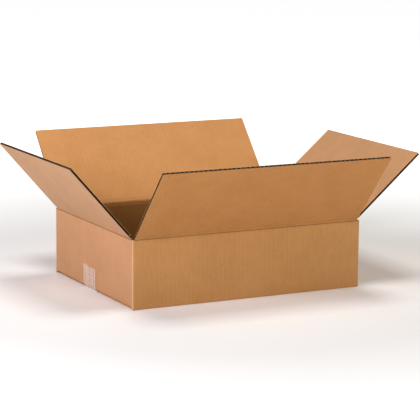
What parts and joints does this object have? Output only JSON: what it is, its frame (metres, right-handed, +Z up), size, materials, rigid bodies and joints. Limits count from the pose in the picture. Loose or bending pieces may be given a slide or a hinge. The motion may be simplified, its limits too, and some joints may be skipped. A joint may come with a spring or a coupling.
{
  "type": "corrugated cardboard box",
  "caption": "Shallow rectangular corrugated cardboard shipping box, taped shut underneath, with its top flaps creased, hinged and standing open.",
  "frame": {"origin": "the middle of the underside, on the surface that the box stands on", "axes": "+X along the long side to the right, +Y across to the back, +Z up out of the open top"},
  "size_m": [0.6371, 0.514, 0.2344],
  "materials": {
    "kraft_board": "matt brown kraft board",
    "kraft_liner": "matt brown kraft liner over fluted medium",
    "clear_tape": "clear packing tape"
  },
  "bodies": {
    "box": {"box_body": "kraft_board", "bottom_tape": "clear_tape"},
    "front_flap": {"flap_front": "kraft_liner"},
    "back_flap": {"flap_back": "kraft_liner"},
    "left_flap": {"flap_left": "kraft_liner"},
    "right_flap": {"flap_right": "kraft_liner"}
  },
  "joints": [
    {"name": "front_flap_crease", "type": "hinge", "parent": "box", "child": "front_flap", "pos_m": [0, -0.1544, 0.1162], "axis": [1, 0, 0], "range_deg": [-130.6, 94.4]},
    {"name": "back_flap_crease", "type": "hinge", "parent": "box", "child": "back_flap", "pos_m": [0, 0.1544, 0.1162], "axis": [-1, 0, 0], "range_deg": [-131.5, 93.5]},
    {"name": "left_flap_crease", "type": "hinge", "parent": "box", "child": "left_flap", "pos_m": [-0.2072, 0, 0.1139], "axis": [0, -1, 0], "range_deg": [-131.7, 93.3]},
    {"name": "right_flap_crease", "type": "hinge", "parent": "box", "child": "right_flap", "pos_m": [0.2072, 0, 0.1139], "axis": [0, 1, 0], "range_deg": [-139.5, 85.5]}
  ]
}
